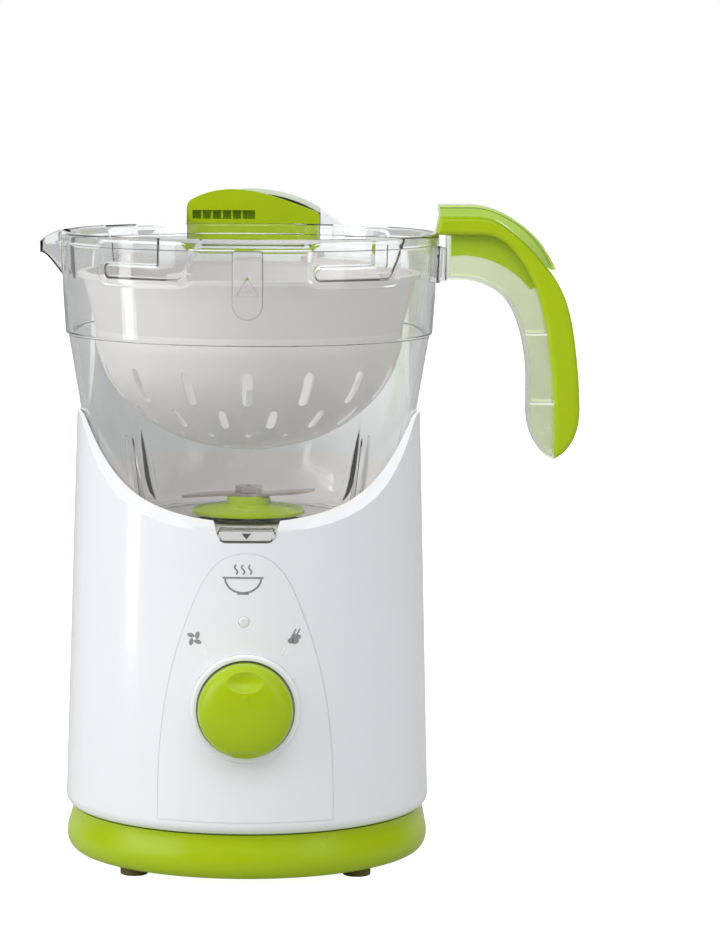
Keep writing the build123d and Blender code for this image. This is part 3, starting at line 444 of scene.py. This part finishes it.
def channel_distance(angle, z):
    """Signed distance, in mm, to the nearest bayonet channel."""
    per_degree = math.radians(1) * 87.0
    lean = np.clip(z - CHANNEL_LOW, 0, 20) * MOUTH_LEAN
    best = np.full_like(z, FAR)
    for start, span in CHANNELS:
        s = turn_between(angle, start) * per_degree
        near, end = (span - 2.0) * per_degree, (span + MOUTH_SPAN - 3.0) * per_degree
        slot = box_distance(s, z, 0.0, end, CHANNEL_LOW, CHANNEL_HIGH, 3.2)
        shift = lean * np.clip((s - near) / (end - near), 0, 1.3)
        mouth = box_distance(s - shift, z, near, end, CHANNEL_LOW, OVER_RIM, 2.6)
        best = np.minimum(best, np.minimum(slot, mouth))
    return best


def boss_distance(angle, z):
    """Signed distance, in mm, to the nearest raised pad behind which a channel lies."""
    per_degree = math.radians(1) * 89.0
    best = np.full_like(z, FAR)
    for start, _ in CHANNELS:
        s = turn_between(angle, start - 2.0) * per_degree
        best = np.minimum(best, box_distance(s, z, 0.0, BOSS_SPAN * per_degree, BOSS_LOW, BOSS_HIGH, 5.5))
    return best


def flat_face(angle, middle, distance):
    """Radius at each azimuth of a flat face square to a middle azimuth."""
    return distance / np.maximum(np.cos(np.radians(turn_between(angle, middle))), 0.5)


def lift_to(r, level, distance, edge):
    """Moves the wall to another radius inside an outline, over a sloping edge."""
    return r + (level - r) * (1 - smooth_step(distance, -edge, 0.0))


def spout_radius(angle, z, inset):
    """How far out the pouring lip reaches: a V in plan over a rising underside."""
    off = np.radians(np.abs(turn_between(angle, SPOUT)))
    tip, half = LIP_TIP - 1.7 * inset, LIP_HALF - inset
    slope = (half - 1.0) / (tip - LIP_ROOT)
    plan = (half + slope * LIP_ROOT) / (np.sin(off) + slope * np.cos(off) + 1e-9)
    plan = np.minimum(plan, tip / np.maximum(np.cos(off), 0.1))
    under = np.interp(z - 1.4 * inset, LIP_HEIGHTS, LIP_REACH)
    reach = np.minimum(plan, under / np.maximum(np.cos(off), 0.1))
    return np.where((off < math.radians(16)) & (z > LIP_HEIGHTS[0]), reach, 0.0)


def blend_max(a, b, width):
    """Larger of two values with a soft corner between them."""
    gap = np.clip(0.5 + 0.5 * (a - b) / width, 0, 1)
    return b * (1 - gap) + a * gap + 0.5 * width * gap * (1 - gap)


def shape_outside(angle, r, z):
    """Outside of the wall with its raised pads, tongue, triangle groove, handle root, tab and spout."""
    x, y = r * np.sin(np.radians(angle)), -r * np.cos(np.radians(angle))
    front = np.abs(turn_between(angle, FRONT)) < 30
    handle_side = np.abs(turn_between(angle, HANDLE)) < 12
    r = np.where(z > 270, lift_to(r, BOSS_FACE, boss_distance(angle, z), 1.2), r)
    tongue = box_distance(x, z, -TONGUE_HALF, TONGUE_HALF, TONGUE_FOOT, OVER_RIM, TONGUE_HALF)
    r = np.where(front & (z > 255) & (z < 293.5), lift_to(r, TONGUE_FACE, tongue, 0.7), r)
    steep = (TRIANGLE_TIP - TRIANGLE_FOOT) / TRIANGLE_HALF
    triangle = np.maximum(TRIANGLE_FOOT - z, (z - TRIANGLE_TIP + np.abs(x) * steep) * TRIANGLE_EASE)
    groove = 1 - smooth_step(np.abs(triangle + 0.7), 0.35, 0.9)
    r = np.where(front, r - 0.55 * groove, r)
    root = box_distance(y, z, -ROOT_HALF, ROOT_HALF, ROOT_LOW, ROOT_HIGH, 2.0)
    r = np.where(handle_side, lift_to(r, flat_face(angle, HANDLE, ROOT_FACE), root, 1.4), r)
    half = TAB_HALF + TAB_FLARE * (z - TAB_HIGH)
    tab = box_distance(x, z, -half, half, TAB_LOW, TAB_HIGH, 1.6)
    reach = np.minimum(TAB_FACE - 0.1, flat_face(angle, FRONT, TAB_FACE))
    r = np.where(front & (z < 168), lift_to(r, np.maximum(reach, r), tab, 0.9), r)
    return blend_max(r, spout_radius(angle, z, 0.0), 1.2)


def shape_inside(angle, r, z):
    """Inside of the wall with its bayonet channels, four ribs and the hollow of the spout."""
    r = np.where(z > 270, lift_to(r, CHANNEL_BED, channel_distance(angle, z), 0.8), r)
    lean = (RIB_TOP[0] - RIB_FOOT[0]) / (RIB_TOP[1] - RIB_FOOT[1])
    rib = RIB_FOOT[0] + (z - RIB_FOOT[1]) * lean
    for k in range(4):
        turn = np.radians(turn_between(angle, 45.0 + 90 * k))
        side = np.abs(r * np.sin(turn))
        inside = (1 - smooth_step(side, 1.7, 2.7)) * (1 - smooth_step(z, 204.0, 208.0)) * (np.abs(turn) < 1)
        r = np.where((z > 160.3) & (rib < r), r + (rib - r) * inside, r)
    return blend_max(r, spout_radius(angle, z, LIP_WALL), 1.2)


def jug_profile():
    """Closed run round the wall's section: underside, outside, rim, inside, floor and shaft hole."""
    low = [(6.0, 157.0), (19.5, 157.0), (19.5, 144.0), (22.0, 144.0), (22.0, 157.0), (54.0, 157.0),
           (54.2, 156.2), (56.8, 156.2), (57.0, 157.0), (61.0, 157.0)]
    outside = through(OUTER_SIDE) + COLLAR + [(RIM_RADIUS, 297.3), (89.0, JUG_RIM)]
    foot = resample(outside[:FOOT_SAMPLES], OVER_RIM, 1.0, 0.8)
    outside = np.vstack([foot, resample(outside[FOOT_SAMPLES:], 247, 0.6, 1.8)])
    inside = [(87.6, JUG_RIM), (86.8, 297.3), (85.8, 270.0), (84.0, 250.9)] + through(INNER_SIDE)[::-1]
    bottom = [(60.5, 160.0), (30.0, 160.0), (6.0, 160.0), (6.0, 157.0)]
    parts = {"under": soften(resample(low, OVER_RIM, 1.0, 1.2), 1),
             "outside": soften(outside, 1),
             "inside": soften(resample(inside, 247, 0.6, 1.6), 1),
             "bottom": resample(bottom, OVER_RIM, 1.0, 2.5)}
    loop, kind = [], []
    for name, part in parts.items():
        loop += list(part)
        kind += [name] * len(part)
    keep = [k for k in range(len(loop)) if np.linalg.norm(loop[k] - loop[k - 1]) > 0.05]
    return np.array([loop[k] for k in keep]), np.array([kind[k] for k in keep])


def ring_mesh(name, x, y, z):
    """Closed mesh from a grid of points: rows run round the section, columns round the axis."""
    rows, columns = x.shape
    points = np.stack([x, y, z], axis=-1).reshape(-1, 3) * MM
    i, j = np.meshgrid(np.arange(rows), np.arange(columns), indexing="ij")
    down, on = (i + 1) % rows, (j + 1) % columns
    quads = np.stack([i * columns + j, i * columns + on, down * columns + on, down * columns + j], axis=-1)
    return make_piece(name, points, quads.reshape(-1, 4).tolist())


def make_piece(name, points, faces):
    """Smooth object from points in metres and faces."""
    mesh = bpy.data.meshes.new(name)
    mesh.from_pydata([tuple(p) for p in points], [], faces)
    mesh.validate()
    mesh.shade_smooth()
    piece = bpy.data.objects.new(name, mesh)
    bpy.context.scene.collection.objects.link(piece)
    return piece


def make_jug(materials):
    """Clear jug: smooth wall with its bayonet channels, front tongue, spout, ribs and tab."""
    loop, kind = jug_profile()
    angle = np.arange(JUG_COLUMNS) * 360.0 / JUG_COLUMNS
    r = np.repeat(loop[:, :1], JUG_COLUMNS, axis=1)
    z = np.repeat(loop[:, 1:], JUG_COLUMNS, axis=1)
    turn = np.repeat(angle[None, :], len(loop), axis=0)
    for side, shape in (("outside", shape_outside), ("inside", shape_inside)):
        rows = kind == side
        r[rows] = shape(turn[rows], r[rows], z[rows])
    droop = np.interp(r, [88.5, 92.0, 96.0, 99.4], [0.0, 0.7, 2.6, 5.6])
    near = np.abs(turn_between(turn, SPOUT)) < 20
    z = z - np.where(near, droop * smooth_step(z, 284.0, 297.0), 0.0)
    x, y = r * np.sin(np.radians(turn)), -r * np.cos(np.radians(turn))
    piece = ring_mesh("jug_wall", x, y, z)
    piece.data.materials.append(materials["clear_san"])
    piece.visible_shadow = False
    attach(piece, "jug")
    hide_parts("jug_body")


def wall_radius(angle, z):
    """Outside radius of the jug at an azimuth, in degrees, and a height."""
    side = OUTER_SIDE + COLLAR + [(RIM_RADIUS, JUG_RIM)]
    base = np.interp(z, [p[1] for p in side], [p[0] for p in side])
    return shape_outside(np.array(angle, float), np.array(base, float), np.array(z, float))


def shade_line_routes():
    """Where dark strips of painted shade stand in for the refraction at moulded corners, as (azimuth,
    height) runs with a width and a lift.
    """
    turns = np.linspace(0, 360, 361)
    routes = [([(a, 249.9) for a in turns], 0.42, 0.0),
              ([(a, 292.9) for a in turns if abs(turn_between(a, SPOUT)) > 9], 0.34, 0.9)]
    middle = TONGUE_FOOT + TONGUE_HALF
    arc = [(-TONGUE_HALF * math.cos(t), middle - TONGUE_HALF * math.sin(t))
           for t in np.linspace(0, math.pi, 25)]
    rising = [(TONGUE_HALF, 270.5 + 2 * k) for k in range(12)]
    tongue = [(-x, z) for x, z in reversed(rising)] + arc + rising
    triangle = [(-TRIANGLE_HALF, TRIANGLE_FOOT), (0.0, 281.0), (TRIANGLE_HALF, TRIANGLE_FOOT),
                (-TRIANGLE_HALF, TRIANGLE_FOOT)]
    for outline, width in ((tongue, 0.30), (triangle, 0.22)):
        routes.append(([(math.degrees(math.asin(x / TONGUE_FACE)), z) for x, z in outline], width, 0.02))
    return routes


def ribbon(route, width, lift, start):
    """Flat bar that lies in the wall's surface along a route; its faces count from a start index."""
    angle, z = np.array(route).T
    r = wall_radius(angle, z) + lift
    out = np.stack([np.sin(np.radians(angle)), -np.cos(np.radians(angle)), 0 * z], axis=-1)
    place = out * r[:, None] + np.stack([0 * z, 0 * z, z], axis=-1)
    across = np.cross(out, np.gradient(place, axis=0))
    across /= np.linalg.norm(across, axis=1)[:, None] + 1e-9
    points, faces, count = [], [], len(route)
    for side, height in ((-1, 0.06), (1, 0.06), (1, -0.15), (-1, -0.15)):
        points += list(place + across * side * width / 2 + out * height)
    firsts = [start + edge * count for edge in range(4)]
    for a, b in zip(firsts, firsts[1:] + firsts[:1]):
        faces += [(a + k, b + k, b + k + 1, a + k + 1) for k in range(count - 1)]
    faces.append(tuple(reversed(firsts)))
    faces.append(tuple(first + count - 1 for first in firsts))
    return points, faces


def make_painted_shade_lines():
    """Fine dark grey strips on the clear wall: painted shade in place of the dark refraction at the step,
    rim, tongue and triangle.
    """
    points, faces = [], []
    for route, width, lift in shade_line_routes():
        more, sides = ribbon(route, width, lift, len(points))
        points += more
        faces += sides
    piece = make_piece("jug_shade_lines", np.array(points) * MM, faces)
    piece.data.shade_flat()
    # Dark grey tint: painted shade for the refraction at the jug's moulded corners.
    piece.data.materials.append(clear("painted_refraction_shade", (0.18, 0.17, 0.165), ior=1.3, rough=0.3))
    piece.visible_shadow = False
    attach(piece, "jug")


def slab_faces(count, start):
    """Faces of a slab whose front outline comes first in the points and its back outline next."""
    faces = [tuple(range(start, start + count)), tuple(range(start + 2 * count - 1, start + count - 1, -1))]
    faces += [(start + k, start + count + k, start + count + (k + 1) % count, start + (k + 1) % count)
              for k in range(count)]
    return faces


def make_tab_face():
    """Frosted face of the jug's front tab, with a small dark arrow on it."""
    frosted = milky("tab_frost", (0.90, 0.895, 0.885), 0.25, 0.35)
    front = 0.1 - TAB_FACE
    outline = [(-11.0, 160.9), (11.0, 160.9), (12.6, 164.9), (-12.6, 164.9)]
    make_plate("tab_face", outline, front, front + 1.0, frosted)
    dark = plastic("tab_mark", (0.10, 0.095, 0.09), gloss=0.4, coat=0.0)
    make_plate("tab_arrow", [(0.0, 161.5), (2.2, 164.2), (-2.2, 164.2)], front - 0.08, front + 0.1, dark)


def make_plate(name, outline, front, back, material):
    """Flat plate in (x, z) on the jug, between two depths."""
    points = [(x, y, z) for y in (front, back) for x, z in outline]
    piece = make_piece(name, np.array(points) * MM, slab_faces(len(outline), 0))
    piece.data.shade_flat()
    piece.data.materials.append(material)
    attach(piece, "jug")


# ---- control knob ----
PANEL_FACE = -86.0
KNOB_Z = 83.6
KNOB_RADIUS = 21.8
DOME_DEPTH = 11.0
POINTER_UP = 7.2


def ellipsoid_depth(x, z, middle, half, height, centre):
    """Depth of the far side of an ellipsoid scoop, far in front of the face where there is none."""
    inside = 1 - (x / half) ** 2 - ((z - middle) / height) ** 2
    return np.where(inside > 0, centre + height * np.sqrt(np.maximum(inside, 0)), -FAR)


def knob_depth(x, z):
    """How far the knob's face lies behind its foremost point: dome, thumb scoop, cut at the foot, dot."""
    share = np.minimum(np.hypot(x, z) / KNOB_RADIUS, 1.0)
    depth = DOME_DEPTH * (1 - (1 - share ** 2.4) ** (1 / 3.0))
    depth = blend_max(depth, ellipsoid_depth(x, z, middle=16.6, half=14.0, height=8.2, centre=-4.0), 0.5)
    depth = blend_max(depth, ellipsoid_depth(x, z, middle=-23.4, half=15.0, height=6.0, centre=2.2), 0.3)
    depth = depth - 0.8 * (1 - smooth_step(np.hypot(x, z - POINTER_UP), 0.5, 1.3))
    return np.maximum(depth, 0.0)


def make_knob(materials):
    """Domed knob: rings of points from the middle to the edge, and one more at the foot of its skirt."""
    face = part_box("control_knob")[0].y / MM
    share = np.sin(np.linspace(0.02, math.pi / 2, 56))
    turn = np.linspace(0, 2 * math.pi, 144, endpoint=False)
    x, z = KNOB_RADIUS * np.outer(share, np.sin(turn)), KNOB_RADIUS * np.outer(share, np.cos(turn))
    rings = np.stack([x, face + knob_depth(x, z), KNOB_Z + z], axis=-1)
    skirt = np.stack([x[-1], np.full(len(turn), PANEL_FACE), KNOB_Z + z[-1]], axis=-1)
    rings = np.vstack([rings, skirt[None]])
    rows, count = rings.shape[:2]
    faces = [(i * count + j, i * count + (j + 1) % count, (i + 1) * count + (j + 1) % count,
              (i + 1) * count + j) for i in range(rows - 1) for j in range(count)]
    faces.append(tuple(range(count))[::-1])
    faces.append(tuple(range((rows - 1) * count, rows * count)))
    piece = make_piece("knob_cap", rings.reshape(-1, 3) * MM, faces)
    piece.data.materials.append(materials["lime_plastic"])
    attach(piece, "knob")
    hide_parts("control_knob")


# ---- printed marks: (x, z) on the front ----
BLEND_AT = (-23.6, 115.5)
BOWL_X, BOWL_BRIM, BOWL_HALF, BOWL_DEEP = -1.4, 143.6, 8.2, 6.6
INK_OVER, INK_UNDER = -0.09, 0.25


def panel_depth(x, z):
    """Depth of the front panel's surface at a place on the front."""
    start = Vector((x * MM, -0.2, z * MM))
    hit, place, _, _ = NODES["front_fascia"].ray_cast(start, Vector((0, 1, 0)))
    return place.y / MM if hit else PANEL_FACE


def make_print(name, outlines, material):
    """Thin ink film on the front panel from closed convex outlines in (x, z)."""
    points, faces = [], []
    for outline in outlines:
        faces += slab_faces(len(outline), len(points))
        for level in (INK_OVER, INK_UNDER):
            points += [(x, panel_depth(x, z) + level, z) for x, z in outline]
    piece = make_piece(name, np.array(points) * MM, faces)
    piece.data.shade_flat()
    piece.data.materials.append(material)
    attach(piece, "base")


def oval(x, z, long, short, turn, count=20):
    """Outline of an ellipse, its long axis turned from +X, in degrees."""
    c, s = math.cos(math.radians(turn)), math.sin(math.radians(turn))
    steps = [2 * math.pi * k / count for k in range(count)]
    return [(x + long * math.cos(t) * c - short * math.sin(t) * s,
             z + long * math.cos(t) * s + short * math.sin(t) * c) for t in steps]


def band(points, width):
    """Convex quads that follow a line, with a small lap at each joint."""
    quads = []
    for (x0, z0), (x1, z1) in zip(points[:-1], points[1:]):
        run = math.hypot(x1 - x0, z1 - z0)
        ux, uz = (x1 - x0) / run, (z1 - z0) / run
        nx, nz = -uz * width / 2, ux * width / 2
        lap = width * 0.15
        x0, z0, x1, z1 = x0 - ux * lap, z0 - uz * lap, x1 + ux * lap, z1 + uz * lap
        quads.append([(x0 - nx, z0 - nz), (x1 - nx, z1 - nz), (x1 + nx, z1 + nz), (x0 + nx, z0 + nz)])
    return quads


def bowl_outlines():
    """Plain bowl with a brim and a foot, and three waves of steam over it."""
    bowl = [(BOWL_X + BOWL_HALF * math.cos(t), BOWL_BRIM + BOWL_DEEP * math.sin(t))
            for t in np.linspace(math.pi, 2 * math.pi, 25)]
    brim = [(x, BOWL_BRIM + 0.3) for x in np.linspace(BOWL_X - 9.2, BOWL_X + 9.2, 13)]
    foot = [(BOWL_X + x, BOWL_BRIM - 7.0) for x in (-2.5, 0.0, 2.5)]
    outlines = band(bowl, 0.85) + band(brim, 0.85) + band(foot, 0.9)
    for x in (BOWL_X - 3.2, BOWL_X, BOWL_X + 3.2):
        turns = np.linspace(0, 2 * math.pi, 13)
        outlines += band([(x + 0.7 * math.sin(t), BOWL_BRIM + 2.0 + 2.1 * t / math.pi) for t in turns], 0.7)
    return outlines


def make_marks():
    """Blend and steam pictograms, white ticks beside them and a plain bowl pictogram above."""
    grey = plastic("print_grey", (0.30, 0.30, 0.305), gloss=0.35, coat=0.0, drift=0.05)
    white = plastic("print_white", (0.97, 0.97, 0.97), gloss=0.25, coat=0.0, drift=0.01)
    x, z = BLEND_AT
    blades = [oval(x + 2.1 * math.cos(math.radians(a)), z + 2.1 * math.sin(math.radians(a)),
                   1.75, 1.0, a + 28) for a in (48, 138, 228, 318)]
    make_print("mark_blend", blades, grey)
    make_print("mark_blend_hub", [oval(x, z, 0.85, 0.85, 0)], white)
    cloud = [oval(20.6, 114.8, 1.5, 1.3, 0), oval(22.6, 114.6, 1.7, 1.4, 20), oval(22.2, 116.6, 1.6, 1.4, 0),
             oval(24.0, 116.4, 1.2, 1.1, 0)]
    rays = band([(21.4, 117.2), (22.8, 120.0)], 0.7) + band([(23.3, 117.4), (24.7, 120.2)], 0.7)
    make_print("mark_steam", cloud + rays, grey)
    ticks = band([(16.6, 109.0), (18.0, 112.3)], 0.75) + band([(18.3, 108.7), (19.7, 111.9)], 0.75)
    ticks += band([(-19.3, 110.3), (-18.1, 108.4)], 0.8)
    make_print("mark_ticks", ticks, white)
    make_print("mark_bowl", bowl_outlines(), grey)


make_camera()
make_stage()
materials_by_slot = build_materials()
finish_nodes(materials_by_slot)
make_jug(materials_by_slot)
make_painted_shade_lines()
make_tab_face()
make_knob(materials_by_slot)
make_marks()
